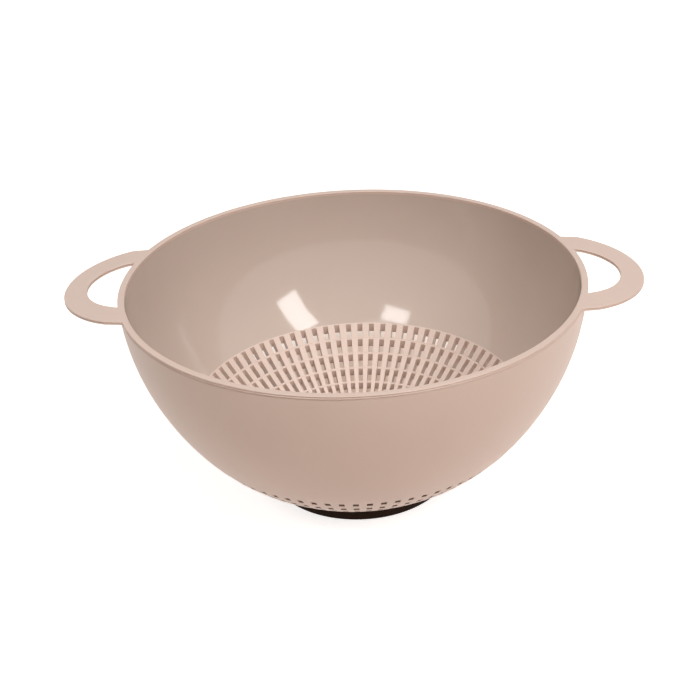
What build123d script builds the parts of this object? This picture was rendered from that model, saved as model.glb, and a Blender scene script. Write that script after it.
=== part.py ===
from build123d import *
import math
import os

# Household colander: a deep round strainer bowl, a flat rim ring that carries
# two loop handles, and a non-slip ring under the foot.
# Millimetres. The origin is at the centre of the foot, on the table, with Z up.
# The two handles lie on the X axis.

# Overall sizes
total_height = 120.0
rim_radius = 122.5
handle_projection = 29.5

# Wall of the bowl: a ball a little smaller than the rim, cut off by a flat base
wall_thickness = 3.2
ball_inset = 2.0
base_clearance = 3.0
base_cut = 4.5
upper_bands = 6

# Rim ring and handles
rim_thickness = 1.8
rim_overhang = 0.3
handle_radius = 46.0
grip_width = 13.2
grip_hole_radius = 28.0
rim_edge_break = 0.4
handle_corner_round = 1.0

# Tongue of the rim ring in the groove of the bowl's edge
tongue_thickness = 1.0
tongue_depth = 2.5
tongue_clearance = 0.05

# Foot rib of the bowl and the ring pressed over it
foot_radius = 50.5
foot_width = 6.0
foot_tread = 2.0
foot_edge_break = 0.6
rib_thickness = 2.0
rib_clearance = 0.1

# Slotted strainer field in the side of the bowl, from an angle seen from the
# ball's centre down to a gap outside the foot
slot_count = 80
slot_rows = 5
field_top_angle = math.radians(48.9)
field_foot_gap = 3.8
row_web = 0.9
top_slot_width = 3.0
bottom_slot_width = 2.5

# Drainage slots: one ring in the flat base, inside the foot
base_slot_count = 24
base_edge_gap = 1.5
base_slot_length = 12.0
base_slot_width = 2.5

# Heights and radii that follow from the sizes above
rim_bottom = total_height - rim_thickness
wall_top_radius = rim_radius - rim_overhang
wall_top_inside = wall_top_radius - wall_thickness
ball_radius = rim_radius - ball_inset
ball_centre = base_clearance - base_cut + ball_radius


def ball_height_at(radius, depth=0):
    """Height of the ball shape, or of a face at a depth in its wall."""
    return ball_centre - math.sqrt((ball_radius - depth) ** 2 - radius**2)


# Radii at which the field's rings of slots start, from the foot up, and the
# radii in the webs between them where the wall's straight bands meet
field_bottom_angle = math.asin((foot_radius + field_foot_gap) / ball_radius)
row_angle = (field_top_angle - field_bottom_angle) / slot_rows
row_radii = [
    ball_radius * math.sin(field_bottom_angle + row * row_angle)
    for row in range(slot_rows + 1)
]
band_radii = [radius + row_web / 2 for radius in row_radii]

# The tongue and its groove run round the middle of the wall
tongue_radius = wall_top_radius - wall_thickness / 2
groove_width = tongue_thickness + 2 * tongue_clearance
groove_depth = tongue_depth + tongue_clearance

# The foot rib runs round the middle of the foot ring and stands on its tread
rib_radius = foot_radius - foot_width / 2
rib_root = ball_height_at(rib_radius) + wall_thickness / 2
rib_height = rib_root - foot_tread


def floor_radius_at(depth):
    """Radius at which the flat base meets the ball, at a depth in the wall."""
    floor = base_clearance + depth
    return math.sqrt((ball_radius - depth) ** 2 - (ball_centre - floor) ** 2)


# The foot ring's top lies along the wall's lowest band, which starts at the base
foot_inside = foot_radius - foot_width
foot_top = ball_height_at(foot_radius)
foot_band_slope = (foot_top - base_clearance) / (foot_radius - floor_radius_at(0))
foot_inside_top = foot_top - foot_width * foot_band_slope


def wall_line(depth):
    """One face of the wall, at a depth from its outside, from the axis to the rim."""
    floor = base_clearance + depth
    corners = [
        (radius, ball_height_at(radius, depth)) for radius in (foot_radius, *band_radii)
    ]
    # Above the field the wall leaves the ball and runs up steeper to the rim
    top_angle = math.asin(band_radii[-1] / (ball_radius - depth))
    upper_wall = TangentArc(
        corners[-1],
        (wall_top_radius - depth, rim_bottom),
        tangent=(math.cos(top_angle), math.sin(top_angle)),
        mode=Mode.PRIVATE,
    )
    band_ends = [upper_wall @ (end / upper_bands) for end in range(1, upper_bands + 1)]
    Polyline((0, floor), (floor_radius_at(depth), floor), *corners, *band_ends)


def slot_outline(inner, outer, width):
    """One slot seen from above: a sector, with its width taken half way along."""
    spread = math.degrees(2 * width / (inner + outer))
    with BuildSketch(mode=Mode.PRIVATE) as slot:
        with BuildLine():
            outer_end = CenterArc((0, 0), outer, -spread / 2, spread)
            inner_end = CenterArc((0, 0), inner, -spread / 2, spread)
            Line(inner_end @ 0, outer_end @ 0)
            Line(inner_end @ 1, outer_end @ 1)
        make_face()
    return slot.sketch


# Bowl: wall, flat base, groove and foot rib turned as one profile
with BuildPart() as bowl:
    with BuildSketch(Plane.XZ):
        with BuildLine():
            wall_line(0)
            wall_line(wall_thickness)
            Line((wall_top_inside, rim_bottom), (wall_top_radius, rim_bottom))
            Line((0, base_clearance), (0, base_clearance + wall_thickness))
        make_face()
        with Locations((tongue_radius, rim_bottom)):
            Rectangle(
                groove_width,
                groove_depth,
                align=(Align.CENTER, Align.MAX),
                mode=Mode.SUBTRACT,
            )
        with Locations((rib_radius, foot_tread)):
            Rectangle(rib_thickness, rib_height, align=(Align.CENTER, Align.MIN))
    revolve(axis=Axis.Z)

    with BuildSketch(Plane.XY):
        # Strainer field: rings of upright slots, wider from the foot up
        for row in range(slot_rows):
            rise = row / (slot_rows - 1)
            slot_width = bottom_slot_width + rise * (top_slot_width - bottom_slot_width)
            slot_start = row_radii[row] + row_web
            with PolarLocations(0, slot_count):
                add(slot_outline(slot_start, row_radii[row + 1], slot_width))

        # Drainage slots, up to the edge of the flat base
        base_slot_end = floor_radius_at(wall_thickness) - base_edge_gap
        base_slot_start = base_slot_end - base_slot_length
        with PolarLocations(0, base_slot_count):
            add(slot_outline(base_slot_start, base_slot_end, base_slot_width))
    extrude(amount=rim_bottom, mode=Mode.SUBTRACT)

# Rim ring: one flat moulding with both loop handles and a tongue underneath
handle_reach = rim_radius + handle_projection
handle_centre = handle_reach - handle_radius
grip_hole_centre = handle_reach - grip_width - grip_hole_radius

with BuildPart() as rim_ring:
    with BuildSketch(Plane.XY.offset(rim_bottom)) as rim_outline:
        with Locations((-handle_centre, 0), (handle_centre, 0)):
            Circle(handle_radius)
        with Locations((-grip_hole_centre, 0), (grip_hole_centre, 0)):
            Circle(grip_hole_radius, mode=Mode.SUBTRACT)
        Circle(rim_radius)
        fillet(rim_outline.vertices(), handle_corner_round)
        Circle(wall_top_inside, mode=Mode.SUBTRACT)
    extrude(amount=rim_thickness)
    chamfer(rim_ring.faces().sort_by(Axis.Z)[-1].edges(), rim_edge_break)
    with BuildSketch(Plane.XY.offset(rim_bottom)):
        Circle(tongue_radius + tongue_thickness / 2)
        Circle(tongue_radius - tongue_thickness / 2, mode=Mode.SUBTRACT)
    extrude(amount=-tongue_depth)

# Foot ring: soft non-slip channel pressed up over the foot rib
with BuildPart() as foot_ring:
    with BuildSketch(Plane.XZ) as foot_profile:
        with BuildLine():
            Polyline(
                (foot_radius, 0),
                (foot_radius, foot_top - rib_clearance),
                (foot_inside, foot_inside_top - rib_clearance),
                (foot_inside, 0),
                close=True,
            )
        make_face()
        outer_edge = foot_profile.vertices().group_by(Axis.Y)[0].sort_by(Axis.X)[-1]
        chamfer(outer_edge, foot_edge_break)
        with Locations((rib_radius, foot_tread)):
            Rectangle(
                rib_thickness + 2 * rib_clearance,
                rib_height,
                align=(Align.CENTER, Align.MIN),
                mode=Mode.SUBTRACT,
            )
    revolve(axis=Axis.Z)

bowl.part.label = "bowl"
rim_ring.part.label = "rim_ring"
foot_ring.part.label = "foot_ring"

os.makedirs("parts", exist_ok=True)
export_step(bowl.part, "parts/bowl.step")
export_step(rim_ring.part, "parts/rim_ring.step")
export_step(foot_ring.part, "parts/foot_ring.step")
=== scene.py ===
import math

import bmesh
import bpy
from mathutils import Matrix, Vector


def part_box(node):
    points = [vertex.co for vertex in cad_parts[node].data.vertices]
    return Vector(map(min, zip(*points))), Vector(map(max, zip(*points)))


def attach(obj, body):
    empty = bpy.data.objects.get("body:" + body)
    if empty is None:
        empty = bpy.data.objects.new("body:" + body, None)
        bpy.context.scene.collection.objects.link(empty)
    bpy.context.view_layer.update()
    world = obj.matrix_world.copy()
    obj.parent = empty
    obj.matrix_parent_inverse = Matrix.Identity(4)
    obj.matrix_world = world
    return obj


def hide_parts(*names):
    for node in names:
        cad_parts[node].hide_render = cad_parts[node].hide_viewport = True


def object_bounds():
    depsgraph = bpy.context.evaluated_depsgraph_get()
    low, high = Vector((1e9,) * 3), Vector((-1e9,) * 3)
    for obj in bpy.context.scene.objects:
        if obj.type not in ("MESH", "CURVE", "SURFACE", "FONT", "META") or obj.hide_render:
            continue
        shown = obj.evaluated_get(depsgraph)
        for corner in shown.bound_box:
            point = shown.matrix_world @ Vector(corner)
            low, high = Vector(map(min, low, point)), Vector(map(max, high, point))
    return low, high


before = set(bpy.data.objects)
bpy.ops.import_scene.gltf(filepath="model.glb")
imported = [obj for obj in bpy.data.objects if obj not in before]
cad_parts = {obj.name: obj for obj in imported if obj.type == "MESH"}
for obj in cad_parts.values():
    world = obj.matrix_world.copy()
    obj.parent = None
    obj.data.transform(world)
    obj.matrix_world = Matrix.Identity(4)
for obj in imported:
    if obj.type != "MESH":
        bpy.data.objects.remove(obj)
cad_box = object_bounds()
scene = bpy.context.scene
scene.view_settings.view_transform = "Standard"

# Camera
# The photograph was taken from a little above the rim with a short telephoto
# lens. The handles are turned slightly, the right one towards the camera.
rim_height = cad_box[1][2]
camera_distance = 0.7054
camera_elevation = math.radians(25.61)
camera_pan = math.radians(-0.23)
camera_tilt = math.radians(3.10)
camera_roll = math.radians(2.74)
handle_turn = math.radians(2.2)

camera_data = bpy.data.cameras.new("camera")
camera_data.sensor_width = 36.0
camera_data.lens = 68.94
camera_data.clip_start = 0.01
camera_data.clip_end = 50.0
camera = bpy.data.objects.new("camera", camera_data)
scene.collection.objects.link(camera)
camera.matrix_world = (
    Matrix.Rotation(handle_turn, 4, "Z")
    @ Matrix.Translation((
        0,
        -camera_distance * math.cos(camera_elevation),
        camera_distance * math.sin(camera_elevation) + rim_height,
    ))
    @ Matrix.Rotation(math.pi / 2 - camera_elevation, 4, "X")
    @ Matrix.Rotation(-camera_pan, 4, "Y")
    @ Matrix.Rotation(-camera_tilt, 4, "X")
    @ Matrix.Rotation(-camera_roll, 4, "Z")
)
scene.camera = camera

# Bowl
# One injection moulding in pale pink polypropylene: a ball-shaped wall on a flat
# base, with five rings of slots low in the wall and one ring in the base. Its
# mould left the slotted field matt, the inside above it polished, the rest satin.
# The field and the slots' walls are painted paler, as painted light, and the
# slots' lower ends dark, as painted shade.
wall = 0.0032
wall_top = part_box("bowl")[1][2]
wall_top_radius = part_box("bowl")[1][1]
ball_radius = 0.1205
ball_centre = 0.119
base_height = 0.003
foot_radius = 0.0505
foot_width = 0.006
foot_tread = 0.002
rib_width = 0.002
rib_draft = 0.0002
groove_width = 0.0011
groove_depth = 0.00255
under_rim_groove = 0.0005

# The rings of slots in the wall, and the fine creases between them
slots_around = 80
slot_rows = 5
field_top_angle = math.radians(48.9)
field_foot_gap = 0.0038
row_web = 0.0009
top_slot_width = 0.003
bottom_slot_width = 0.0025
slot_slope = 0.0026
crease_width = 0.0005
crease_depth = 0.00022

# The ring of slots in the base
base_slots_around = 24
base_slot_length = 0.012
base_slot_width = 0.0025
base_edge_gap = 0.0015

# The outside is a little fuller than a ball where the wall is slotted
belly = 0.0011
belly_angle = math.radians(38)
belly_spread = math.radians(28)


def ball_height(radius, depth):
    """Height of the ball-shaped face at a depth in the wall."""
    return ball_centre - math.sqrt((ball_radius - depth) ** 2 - radius**2)


def floor_radius(depth):
    """Radius at which the flat base meets the ball, at a depth in the wall."""
    return math.sqrt((ball_radius - depth) ** 2 - (ball_centre - base_height - depth) ** 2)


# The wall's straight bands meet in the webs between the rings of slots
field_bottom_angle = math.asin((foot_radius + field_foot_gap) / ball_radius)
row_angle = (field_top_angle - field_bottom_angle) / slot_rows
row_radii = [
    ball_radius * math.sin(field_bottom_angle + row * row_angle)
    for row in range(slot_rows + 1)
]
band_radii = [radius + row_web / 2 for radius in row_radii]


def wall_height(radius, depth):
    """Height of a face of the wall, from the axis to the top of the slotted field."""
    floor = base_height + depth
    corners = [(0, floor), (floor_radius(depth), floor)]
    corners += [(end, ball_height(end, depth)) for end in (foot_radius, *band_radii)]
    for (start, low), (end, high) in zip(corners, corners[1:]):
        if radius <= end:
            return low + (high - low) * (radius - start) / (end - start)
    return corners[-1][1]


def upper_wall_point(share, depth):
    """A point of the steeper arc from the top of the field up to the rim."""
    start = Vector((band_radii[-1], ball_height(band_radii[-1], depth)))
    end = Vector((wall_top_radius - depth, wall_top))
    slope = math.asin(band_radii[-1] / (ball_radius - depth))
    half_turn = math.atan2(end.y - start.y, end.x - start.x) - slope
    arc_radius = (end - start).length / (2 * math.sin(half_turn))
    angle = slope + share * 2 * half_turn
    return (
        start.x + arc_radius * (math.sin(angle) - math.sin(slope)),
        start.y + arc_radius * (math.cos(slope) - math.cos(angle)),
    )


def with_belly(point):
    """A point of the outside moved out where the wall is a little fuller."""
    radius, height = point
    angle = math.atan2(radius, ball_centre - height)
    share = min(1, abs(angle - belly_angle) / belly_spread)
    swell = belly * (1 + math.cos(math.pi * share)) / 2
    return (radius + swell * math.sin(angle), height - swell * math.cos(angle))


def station(radius, half_angle, cut=False, push=0.0, late=0.0, on_rib=False):
    """A stop on the way up the wall: its point inside, which a crease pushes down,
    its point outside, which comes later at a slot's sloping end, half the angle of
    the slots, and whether the wall is slotted from here to the next stop."""
    inside = (radius, wall_height(radius, wall) - push)
    outside = with_belly((radius + late, wall_height(radius + late, 0)))
    return (inside, (radius, foot_tread) if on_rib else outside, half_angle, cut)


# Where the wall is plain, a slice's columns are a third of a slot's pitch wide,
# so that the base's slices meet the wall's slices corner to corner.
base_pitch = 2 * math.pi / base_slots_around
field_pitch = 2 * math.pi / slots_around
plain_half = field_pitch / 6
base_bar_columns = 9
wall_bar_columns = 2
plain_disc_rings = (0, 0.006, 0.012)
base_corner_width = 0.001
slices_meet = 0.039

base_slot_end = floor_radius(wall) - base_edge_gap
base_slot_start = base_slot_end - base_slot_length
base_half = base_slot_width / (base_slot_start + base_slot_end)
base_stations = [station(radius, base_half) for radius in plain_disc_rings]
base_stations += [
    station(base_slot_start, base_half, cut=True),
    station(base_slot_end, base_half),
    station(floor_radius(wall), plain_half),
    station(floor_radius(0) + base_corner_width, plain_half),
    station(slices_meet, plain_half),
]

foot_inside = foot_radius - foot_width
rib_inside = foot_radius - foot_width / 2 - rib_width / 2
rib_outside = rib_inside + rib_width
wall_stations = [
    station(slices_meet, plain_half),
    station(foot_inside, plain_half),
    station(rib_inside - rib_draft, plain_half),
    station(rib_inside, plain_half, on_rib=True),
    station(rib_outside, plain_half, on_rib=True),
    station(rib_outside + rib_draft, plain_half),
    station(foot_radius, plain_half),
]
field_bottom = len(wall_stations)
for row in range(slot_rows):
    rise = row / (slot_rows - 1)
    width = bottom_slot_width + rise * (top_slot_width - bottom_slot_width)
    start, end = row_radii[row] + row_web, row_radii[row + 1]
    half = width / (start + end)
    crease = crease_depth if row else 0
    wall_stations += [
        station(band_radii[row] - crease_width / 2, half),
        station(band_radii[row], half, push=crease),
        station(band_radii[row] + crease_width / 2, half),
        station(start, half, cut=True, late=slot_slope),
        station(end, half),
    ]
wall_stations.append(station(band_radii[-1], half))
field_top = len(wall_stations) - 1

# Above the field the wall runs up plain, and sets in a little under the rim
upper_steps = 22
set_in_share = 0.99
upper_shares = [step / upper_steps for step in range(1, upper_steps)] + [set_in_share, 1]
for share in upper_shares:
    radius, height = with_belly(upper_wall_point(share, 0))
    if share == 1:
        radius -= under_rim_groove
    wall_stations.append((upper_wall_point(share, wall), (radius, height), half, False))

# The groove in the wall's top edge, where the tongue of the rim ring stands
wall_middle = wall_top_radius - wall / 2
groove = [
    (wall_middle + side * groove_width / 2, wall_top - depth)
    for side, depth in ((-1, 0), (-1, groove_depth), (1, groove_depth), (1, 0))
]


def slice_mesh(stations, top_edge, pitch, bar_columns, matt_and_painted_light_from, polished_from):
    """Points and faces of one slice, up the inside, over the top edge and down the
    outside, then the walls of its slots, and the finish or painted light or shade of each
    face."""
    inside, outside, halves, cuts = (list(stops) for stops in zip(*stations))
    profile = inside + top_edge + outside[::-1]
    half_angles = halves + [halves[-1]] * len(top_edge) + halves[::-1]
    points = []
    for (radius, height), half_angle in zip(profile, half_angles):
        bar = (pitch - 2 * half_angle) / bar_columns
        angles = [-half_angle] + [half_angle + bar * n for n in range(bar_columns + 1)]
        points += [(radius * math.cos(a), radius * math.sin(a), height) for a in angles]
    across = bar_columns + 2
    last = len(profile) - 1
    faces, finishes_and_paint = [], []
    for row in range(last):
        # A base slice stays open at its end, where the wall's slices go on
        if not top_edge and row == len(stations) - 1:
            continue
        finish_or_paint = "satin"
        if matt_and_painted_light_from <= row < polished_from:
            finish_or_paint = "matt"
        elif polished_from <= row < len(stations) - 1:
            finish_or_paint = "polished"
        low, high = row * across, (row + 1) * across
        slotted = (cuts + [False] * len(top_edge))[min(row, last - 1 - row)]
        for column in range(1 if slotted else 0, across - 1):
            faces.append((low + column, high + column, high + column + 1, low + column + 1))
            finishes_and_paint.append(finish_or_paint)
    for row in [number for number, cut in enumerate(cuts) if cut]:
        low, high = row * across, (row + 1) * across
        low_out, high_out = (last - row) * across, (last - row - 1) * across
        faces += [
            (low, high, high_out, low_out),
            (low + 1, low_out + 1, high_out + 1, high + 1),
            (high, high + 1, high_out + 1, high_out),
            (low, low_out, low_out + 1, low + 1),
        ]
        # Each slot's sides and upper end take the matt finish with its painted light, and its
        # sloping lower end the painted shade
        finishes_and_paint += ["matt", "matt", "matt", "painted_shade"]
    return points, faces, finishes_and_paint


base_points, base_faces, base_finishes_and_paint = slice_mesh(
    base_stations, [], base_pitch, base_bar_columns, len(base_stations), len(base_stations)
)
wall_points, wall_faces, wall_finishes_and_paint = slice_mesh(
    wall_stations, groove, field_pitch, wall_bar_columns, field_bottom, field_top
)
slices = bpy.data.meshes.new("bowl_slices")
slices.from_pydata(base_points + wall_points, [], base_faces + [
    tuple(len(base_points) + corner for corner in face) for face in wall_faces
])
marks = {
    finish_or_paint: [finish_or_paint == found for found in base_finishes_and_paint + wall_finishes_and_paint]
    for finish_or_paint in ("matt", "painted_shade", "polished")
}
marks["in_base"] = [True] * len(base_faces) + [False] * len(wall_faces)
for name, values in marks.items():
    slices.attributes.new(name, "BOOLEAN", "FACE").data.foreach_set("value", values)


def add_node(tree, kind, inputs=None, **settings):
    """Add a node with its settings; inputs are values or sockets by name."""
    node = tree.nodes.new(kind)
    for name, value in settings.items():
        setattr(node, name, value)
    for name, value in (inputs or {}).items():
        if isinstance(value, bpy.types.NodeSocket):
            tree.links.new(value, node.inputs[name])
        else:
            node.inputs[name].default_value = value
    return node


def srgb(code):
    """The linear colour of a hex code."""
    shares = [int(code[i:i + 2], 16) / 255 for i in (1, 3, 5)]
    linear = [c / 12.92 if c <= 0.04045 else ((c + 0.055) / 1.055) ** 2.4 for c in shares]
    return (*linear, 1.0)


def moulded_material(name, shades, cloud_size, grain, shader_values):
    """A moulded material: two close shades in soft clouds, and the grain that its
    mould left, as its size, depth, strength and detail."""
    material = bpy.data.materials.new(name)
    material.use_nodes = True
    tree = material.node_tree
    shader = tree.nodes["Principled BSDF"]
    for socket, value in shader_values.items():
        shader.inputs[socket].default_value = value
    place = add_node(tree, "ShaderNodeTexCoord").outputs["Object"]
    clouds = add_node(
        tree, "ShaderNodeTexNoise", {"Vector": place, "Scale": 1 / cloud_size, "Detail": 2.0}
    )
    tint = add_node(
        tree, "ShaderNodeMix",
        {"Factor": clouds.outputs["Fac"], "A": srgb(shades[0]), "B": srgb(shades[1])},
        data_type="RGBA",
    )
    tree.links.new(tint.outputs["Result"], shader.inputs["Base Color"])
    grain_size, grain_depth, grain_strength, grain_detail = grain
    texture = add_node(tree, "ShaderNodeTexNoise", {
        "Vector": place, "Scale": 1 / grain_size, "Detail": grain_detail,
    })
    bump = add_node(tree, "ShaderNodeBump", {
        "Height": texture.outputs["Fac"], "Strength": grain_strength, "Distance": grain_depth,
    })
    tree.links.new(bump.outputs["Normal"], shader.inputs["Normal"])
    return material


# Polypropylene from a finely spark-eroded mould: a broad, soft sheen. Its grain of
# about 0.05 mm is drawn at 0.6 mm, so that it shows.
plastic_clouds = 0.03
spark_grain = (0.0006, 0.00004, 0.2, 2.0)
bowl_satin = moulded_material(
    "satin_pink_plastic", ("#DFC5B6", "#DBC1B2"), plastic_clouds, spark_grain,
    {"Roughness": 0.42, "IOR": 1.49},
)
# The slotted field inside and the walls of its slots, from a coarser eroded mould, with next
# to no sheen; their colour is painted paler than the satin, as painted light
bowl_matt_painted_light = moulded_material(
    "matt_pink_plastic_painted_light", ("#E6D1C4", "#E2CDC0"), plastic_clouds, spark_grain,
    {"Roughness": 0.5, "IOR": 1.49},
)
# The slots' sloping lower ends: painted shade, a dark dull brown that stands in for the shade
# deep in the slots
bowl_painted_shade = moulded_material(
    "painted_shade_pink_plastic", ("#7A6252", "#6E584A"), plastic_clouds,
    (0.0006, 0.00004, 0.4, 2.0), {"Roughness": 0.6, "IOR": 1.49},
)
# The inside above the field, from polished steel: clear reflections of the lights,
# with a faint ripple
bowl_polished = moulded_material(
    "polished_pink_plastic", ("#D2BFB2", "#CEBBAE"), plastic_clouds,
    (0.016, 0.0002, 0.2, 2.0), {"Roughness": 0.08, "IOR": 1.49},
)


def bowl_tree():
    """Set copies of both slices round the axis, weld them into one shell and give
    each face its finish, or its painted light or shade."""
    tree = bpy.data.node_groups.new("turned_slices", "GeometryNodeTree")
    sockets = {
        "Slices": "NodeSocketGeometry",
        "Base Slices": "NodeSocketInt",
        "Wall Slices": "NodeSocketInt",
        "Weld Distance": "NodeSocketFloat",
        "Satin": "NodeSocketMaterial",
        "Matt": "NodeSocketMaterial",
        "Painted_Shade": "NodeSocketMaterial",
        "Polished": "NodeSocketMaterial",
    }
    for name, kind in sockets.items():
        tree.interface.new_socket(name, in_out="INPUT", socket_type=kind)
    tree.interface.new_socket("Bowl", in_out="OUTPUT", socket_type="NodeSocketGeometry")
    group = add_node(tree, "NodeGroupInput").outputs
    index = add_node(tree, "GeometryNodeInputIndex").outputs["Index"]
    in_base = add_node(
        tree, "GeometryNodeInputNamedAttribute", {"Name": "in_base"}, data_type="BOOLEAN"
    )
    split = add_node(
        tree, "GeometryNodeSeparateGeometry",
        {"Geometry": group["Slices"], "Selection": in_base.outputs["Attribute"]},
        domain="FACE",
    )
    rings = add_node(tree, "GeometryNodeJoinGeometry")
    for part, count in (("Selection", "Base Slices"), ("Inverted", "Wall Slices")):
        line = add_node(
            tree, "GeometryNodeMeshLine", {"Count": group[count], "Offset": (0, 0, 0)}
        )
        pitch = add_node(
            tree, "ShaderNodeMath", {0: 2 * math.pi, 1: group[count]}, operation="DIVIDE"
        )
        turn = add_node(
            tree, "ShaderNodeMath", {0: index, 1: pitch.outputs[0]}, operation="MULTIPLY"
        )
        rotation = add_node(tree, "ShaderNodeCombineXYZ", {"Z": turn.outputs[0]})
        ring = add_node(tree, "GeometryNodeInstanceOnPoints", {
            "Points": line.outputs["Mesh"],
            "Instance": split.outputs[part],
            "Rotation": rotation.outputs["Vector"],
        })
        tree.links.new(ring.outputs["Instances"], rings.inputs["Geometry"])
    real = add_node(
        tree, "GeometryNodeRealizeInstances", {"Geometry": rings.outputs["Geometry"]}
    )
    welded = add_node(tree, "GeometryNodeMergeByDistance", {
        "Geometry": real.outputs["Geometry"], "Distance": group["Weld Distance"],
    })
    smooth = add_node(
        tree, "GeometryNodeSetShadeSmooth", {"Geometry": welded.outputs["Geometry"]}
    )
    finished = add_node(tree, "GeometryNodeSetMaterial", {
        "Geometry": smooth.outputs["Geometry"], "Material": group["Satin"],
    })
    for finish_or_paint in ("Matt", "Painted_Shade", "Polished"):
        marked = add_node(
            tree, "GeometryNodeInputNamedAttribute", {"Name": finish_or_paint.lower()},
            data_type="BOOLEAN",
        )
        finished = add_node(tree, "GeometryNodeSetMaterial", {
            "Geometry": finished.outputs["Geometry"],
            "Selection": marked.outputs["Attribute"],
            "Material": group[finish_or_paint],
        })
    add_node(tree, "NodeGroupOutput", {"Bowl": finished.outputs["Geometry"]})
    return tree


weld_distance = 0.00001
sharp_angle = math.radians(28)
bowl_source = bpy.data.objects.new("bowl_source", slices)
scene.collection.objects.link(bowl_source)
modifier = bowl_source.modifiers.new("turned_slices", "NODES")
modifier.node_group = bowl_tree()
settings = {
    "Base Slices": base_slots_around,
    "Wall Slices": slots_around,
    "Weld Distance": weld_distance,
    "Satin": bowl_satin,
    "Matt": bowl_matt_painted_light,
    "Painted_Shade": bowl_painted_shade,
    "Polished": bowl_polished,
}
for item in modifier.node_group.interface.items_tree:
    if item.name in settings:
        modifier[item.identifier] = settings[item.name]
evaluated = bowl_source.evaluated_get(bpy.context.evaluated_depsgraph_get())
bowl_mesh = bpy.data.meshes.new_from_object(evaluated)
bowl_source.modifiers.remove(modifier)
bpy.data.objects.remove(bowl_source)
bowl_mesh.set_sharp_from_angle(angle=sharp_angle)
bowl = bpy.data.objects.new("strainer_bowl", bowl_mesh)
scene.collection.objects.link(bowl)
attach(bowl, "root")
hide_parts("bowl")

# Rim ring
# The flat rim and both loop handles are one satin moulding of the same pink
# plastic, seated on the wall's top edge with its tongue in the groove there. A
# fine groove runs half way up its outer edge, and the loops droop a little.
rim_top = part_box("rim_ring")[1][2]
rim_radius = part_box("rim_ring")[1][1]
rim_thickness = rim_top - wall_top
rim_inside = wall_top_radius - wall
tongue_width = 0.001
tongue_depth = 0.0025
edge_break = 0.0003
edge_groove = 0.0005

# The loops run straight where they leave the rim, and the holes are round
handle_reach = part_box("rim_ring")[1][0]
handle_radius = 0.046
handle_centre = handle_reach - handle_radius
handle_root = 0.0437
handle_root_taper = 0.12
handle_droop = 0.002
grip_width = 0.012
grip_hole_radius = 0.0277
grip_hole_centre = handle_reach - grip_width - grip_hole_radius

# Corners along each part of the outlines
loop_steps = 96
half_rim_steps = 150
hole_steps = 64
hole_back_steps = 36
inside_steps = 240


def arc(centre, radius, start, end, steps):
    """Points on an arc about a centre on the handles' axis, its end left out."""
    angles = [start + (end - start) * step / steps for step in range(steps)]
    return [(centre + radius * math.cos(a), radius * math.sin(a)) for a in angles]


def handle_outline():
    """The outside of the right loop."""
    root = math.sqrt(rim_radius**2 - handle_root**2)
    turn = math.acos((root - handle_centre) / handle_radius)
    outline = []
    for x, y in arc(handle_centre, handle_radius, -turn, turn, loop_steps):
        limit = handle_root - handle_root_taper * (x - root)
        outline.append((x, math.copysign(min(abs(y), limit), y)))
    return outline


def grip_hole_outline():
    """The right loop's hole, from the loop's inside back along the rim."""
    corner = (rim_radius**2 - grip_hole_radius**2 + grip_hole_centre**2) / (
        2 * grip_hole_centre
    )
    turn = math.acos((corner - grip_hole_centre) / grip_hole_radius)
    back = math.acos(corner / rim_radius)
    return arc(grip_hole_centre, grip_hole_radius, turn, -turn, hole_steps) + arc(
        0, rim_radius, -back, back, hole_back_steps
    )


def turned_about(points):
    """The same points on the left side, after half a turn."""
    return [(-x, -y) for x, y in points]


half_root = math.asin(handle_root / rim_radius)
half_outline = handle_outline() + arc(
    0, rim_radius, half_root, math.pi - half_root, half_rim_steps
)
outlines = {
    "outside": half_outline + turned_about(half_outline),
    "right_hole": grip_hole_outline(),
    "left_hole": turned_about(grip_hole_outline()),
    "inside": arc(0, rim_inside, 2 * math.pi, 0, inside_steps),
}
# Each edge goes down in steps: how far in from the outline, and how far down
half_way = rim_thickness / 2
outer_edge = [
    (edge_break, 0),
    (0, edge_break),
    (0, half_way - edge_groove),
    (edge_groove, half_way),
    (0, half_way + edge_groove),
    (0, rim_thickness - edge_break),
    (edge_break, rim_thickness),
]
inner_edge = [(edge_break, 0), (0, edge_break), (0, rim_thickness)]

rim = bmesh.new()


def rim_point(x, y, down):
    """A corner of the rim; the loops lie lower towards their tips."""
    out = max(0, (abs(x) - rim_radius) / (handle_reach - rim_radius))
    return rim.verts.new((x, y, rim_top - down - handle_droop * out))


def loop_at(outline, inset, down):
    """A loop of corners moved in from an outline, which has its solid at the left."""
    corners = []
    for number, (x, y) in enumerate(outline):
        before = Vector(outline[number - 1])
        after = Vector(outline[(number + 1) % len(outline)])
        along = (after - before).normalized()
        corners.append(rim_point(x - along.y * inset, y + along.x * inset, down))
    return corners


def join(upper, lower):
    """Faces between two loops with the same number of corners."""
    for number in range(len(upper)):
        rim.faces.new((upper[number - 1], lower[number - 1], lower[number], upper[number]))


def edges_of(loop):
    """The edges that run round a loop of corners."""
    return [rim.edges.get((loop[n - 1], loop[n])) for n in range(len(loop))]


top_edges, bottom_edges = [], []
for name, outline in outlines.items():
    steps = inner_edge if name == "inside" else outer_edge
    loops = [loop_at(outline, inset, down) for inset, down in steps]
    for upper, lower in zip(loops, loops[1:]):
        join(upper, lower)
    top_edges += edges_of(loops[0])
    if name != "inside":
        bottom_edges += edges_of(loops[-1])

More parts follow.
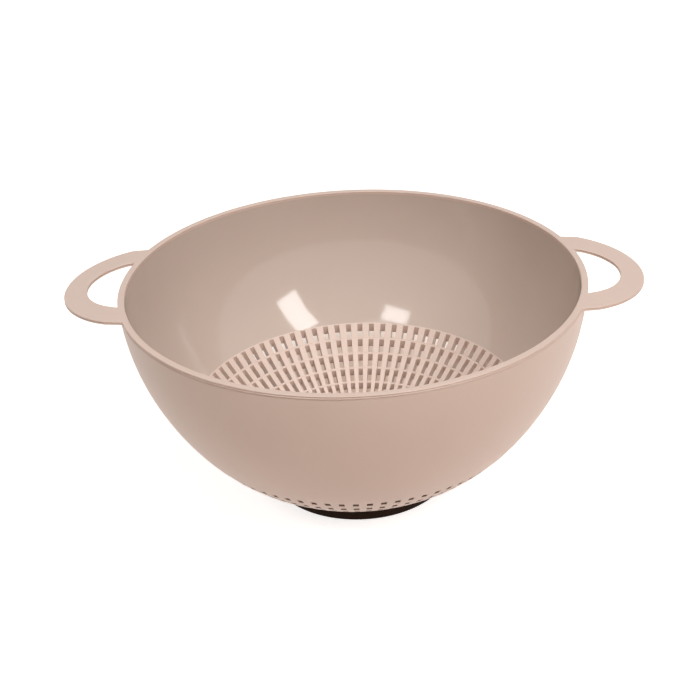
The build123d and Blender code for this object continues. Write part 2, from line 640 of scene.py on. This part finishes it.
# The inner edge's last loop goes on round the tongue
under_inside = loops[-1]
tongue_bottom = rim_thickness + tongue_depth
tongue = []
for side, down in (
    (-1, rim_thickness), (-1, tongue_bottom), (1, tongue_bottom), (1, rim_thickness)
):
    radius = wall_middle + side * tongue_width / 2
    tongue.append(loop_at(arc(0, radius, 2 * math.pi, 0, inside_steps), 0, down))
for upper, lower in zip([under_inside, *tongue], tongue):
    join(upper, lower)
bottom_edges += edges_of(tongue[-1])
for edges in (top_edges, bottom_edges):
    bmesh.ops.triangle_fill(rim, edges=edges, use_beauty=True)
bmesh.ops.recalc_face_normals(rim, faces=rim.faces)
rim_mesh = bpy.data.meshes.new("rim_and_handles")
rim.to_mesh(rim_mesh)
rim.free()
rim_mesh.shade_smooth()
rim_mesh.set_sharp_from_angle(angle=sharp_angle)
rim_mesh.materials.append(bowl_satin)
rim_piece = bpy.data.objects.new("rim_and_handles", rim_mesh)
scene.collection.objects.link(rim_piece)
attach(rim_piece, "root")
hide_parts("rim_ring")

# Foot ring
# A ring of dark brown thermoplastic rubber pressed over the rib under the base,
# with a plain outside. Its top follows the wall above it.
foot_corners = 180
foot_round = 0.001
foot_round_steps = 5
foot_shoulder = 0.006
foot_gap = 0.0001


def foot_top(radius):
    """Height of the ring's top under the fuller outside of the wall."""
    return with_belly((radius, wall_height(radius, 0)))[1] - foot_gap


foot_profile = [
    (foot_inside, 0),
    (foot_inside, foot_shoulder),
    (foot_inside + foot_gap, foot_top(foot_inside)),
    (rib_inside - foot_gap, foot_top(rib_inside)),
    (rib_inside - foot_gap, foot_tread),
    (rib_outside + foot_gap, foot_tread),
    (rib_outside + foot_gap, foot_top(rib_outside)),
    (foot_radius, foot_top(foot_radius)),
    (foot_radius, foot_top(foot_radius) / 2),
]
for step in range(foot_round_steps + 1):
    turn = math.pi / 2 * step / foot_round_steps
    foot_profile.append((
        foot_radius - foot_round * (1 - math.cos(turn)),
        foot_round * (1 - math.sin(turn)),
    ))

foot = bmesh.new()
spokes = []
for corner in range(foot_corners):
    turn = 2 * math.pi * corner / foot_corners
    spokes.append([
        foot.verts.new((radius * math.cos(turn), radius * math.sin(turn), height))
        for radius, height in foot_profile
    ])
for number, spoke in enumerate(spokes):
    before = spokes[number - 1]
    for corner in range(len(spoke)):
        foot.faces.new((
            before[corner - 1], before[corner], spoke[corner], spoke[corner - 1]
        ))
bmesh.ops.recalc_face_normals(foot, faces=foot.faces)
foot_mesh = bpy.data.meshes.new("non_slip_foot")
foot.to_mesh(foot_mesh)
foot.free()
foot_mesh.shade_smooth()
foot_mesh.set_sharp_from_angle(angle=sharp_angle)
# Soft rubber from a matt mould: nearly black brown, with a faint dull sheen. Its
# grain is drawn at 0.8 mm, so that it shows.
foot_mesh.materials.append(moulded_material(
    "dark_brown_rubber", ("#2A180F", "#322015"), 0.01, (0.0008, 0.00005, 0.3, 3.0),
    {"Roughness": 0.7, "Specular IOR Level": 0.12},
))
foot_piece = bpy.data.objects.new("non_slip_foot", foot_mesh)
scene.collection.objects.link(foot_piece)
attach(foot_piece, "root")
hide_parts("foot_ring")

# Studio
# A pale paper sweep under a large soft light. Rays from the camera, and those that
# gloss or clear surfaces send on, see it nearly white, apart from a pink shade behind
# the foot, which the slots show, and the object's shadow.
floor_half = 4.0
shade_centre = (0.0, 0.105, 0.0)
shade_inside, shade_outside = 0.045, 0.095
white_from, white_by = 0.4, 1.2
floor_mesh = bpy.data.meshes.new("studio_floor")
floor_mesh.from_pydata(
    [
        (-floor_half, -floor_half, 0), (floor_half, -floor_half, 0),
        (floor_half, floor_half, 0), (-floor_half, floor_half, 0),
    ],
    [], [(0, 1, 2, 3)],
)
studio_floor = bpy.data.objects.new("studio_floor", floor_mesh)
scene.collection.objects.link(studio_floor)


def seen_directly(tree):
    """1 for camera, glossy and transmission rays, and 0 for the light on the object."""
    ray = add_node(tree, "ShaderNodeLightPath").outputs
    camera_or_glossy = add_node(
        tree, "ShaderNodeMath", {0: ray["Is Camera Ray"], 1: ray["Is Glossy Ray"]},
        operation="MAXIMUM",
    )
    return add_node(
        tree, "ShaderNodeMath",
        {0: camera_or_glossy.outputs[0], 1: ray["Is Transmission Ray"]},
        operation="MAXIMUM",
    ).outputs[0]


# Warm white paper: quite matt. Its back is clear, so that views from below show
# the underside.
paper = bpy.data.materials.new("warm_white_paper")
paper.use_nodes = True
tree = paper.node_tree
shader = tree.nodes["Principled BSDF"]
shader.inputs["Base Color"].default_value = srgb("#E4D9D1")
shader.inputs["Roughness"].default_value = 0.9
shader.inputs["Specular IOR Level"].default_value = 0.0
place = add_node(tree, "ShaderNodeTexCoord").outputs["Object"]
away = add_node(
    tree, "ShaderNodeVectorMath", {0: place, 1: shade_centre}, operation="DISTANCE"
).outputs["Value"]
open_floor = add_node(tree, "ShaderNodeMapRange", {
    "Value": away, "From Min": shade_inside, "From Max": shade_outside,
}, interpolation_type="SMOOTHSTEP").outputs["Result"]
shade = add_node(
    tree, "ShaderNodeMix",
    {"Factor": open_floor, "A": srgb("#A08878"), "B": srgb("#E7E7E7")},
    data_type="RGBA",
)
far_floor = add_node(tree, "ShaderNodeMapRange", {
    "Value": away, "From Min": white_from, "From Max": white_by,
}, interpolation_type="SMOOTHSTEP").outputs["Result"]
sweep = add_node(
    tree, "ShaderNodeMix",
    {"Factor": far_floor, "A": shade.outputs["Result"], "B": srgb("#FFFFFF")},
    data_type="RGBA",
)
glow = add_node(
    tree, "ShaderNodeEmission",
    {"Color": sweep.outputs["Result"], "Strength": seen_directly(tree)},
)
lit_paper = add_node(
    tree, "ShaderNodeAddShader", {0: shader.outputs["BSDF"], 1: glow.outputs["Emission"]}
)
one_sided = add_node(tree, "ShaderNodeMixShader", {
    0: add_node(tree, "ShaderNodeNewGeometry").outputs["Backfacing"],
    1: lit_paper.outputs["Shader"],
    2: add_node(tree, "ShaderNodeBsdfTransparent").outputs["BSDF"],
})
tree.links.new(one_sided.outputs["Shader"], tree.nodes["Material Output"].inputs["Surface"])
floor_mesh.materials.append(paper)

world_light = 0.13
world = bpy.data.worlds.new("studio")
scene.world = world
world.use_nodes = True
tree = world.node_tree
strength = add_node(
    tree, "ShaderNodeMix", {"Factor": seen_directly(tree), "A": world_light, "B": 1.0}
)
background = tree.nodes["Background"]
background.inputs["Color"].default_value = (1, 1, 1, 1)
tree.links.new(strength.outputs["Result"], background.inputs["Strength"])

# A large soft box overhead lights the object, two small ones in front make the
# highlights in its polished inside, and two low ones fill its sides. Each has its
# turn from +Y towards +X and its elevation in degrees, its width and height in
# metres, its power in watts and its roll in degrees.
soft_box_distance = 1.5
aim_height = 0.06
soft_boxes = {
    "overhead_soft_box": (170, 80, 1.4, 1.4, 13.2, 0),
    "right_soft_box": (134.7, 40.6, 0.34, 0.57, 6.7, 9),
    "left_soft_box": (-148, 46.5, 0.38, 0.22, 2.6, 0),
    "right_fill": (85, 2.5, 1.2, 0.25, 2.6, 0),
    "left_fill": (-85, 2.5, 1.0, 0.25, 0.5, 0),
}
for name, (turn, elevation, width, height, power, roll) in soft_boxes.items():
    light = bpy.data.lights.new(name, "AREA")
    light.shape = "RECTANGLE"
    light.size = width
    light.size_y = height
    light.energy = power
    lamp = bpy.data.objects.new(name, light)
    scene.collection.objects.link(lamp)
    turn = math.radians(turn)
    elevation = math.radians(elevation)
    away = Vector((
        math.cos(elevation) * math.sin(turn),
        math.cos(elevation) * math.cos(turn),
        math.sin(elevation),
    ))
    lamp.matrix_world = (
        Matrix.Translation(away * soft_box_distance + Vector((0, 0, aim_height)))
        @ away.to_track_quat("Z", "Y").to_matrix().to_4x4()
        @ Matrix.Rotation(math.radians(roll), 4, "Z")
    )
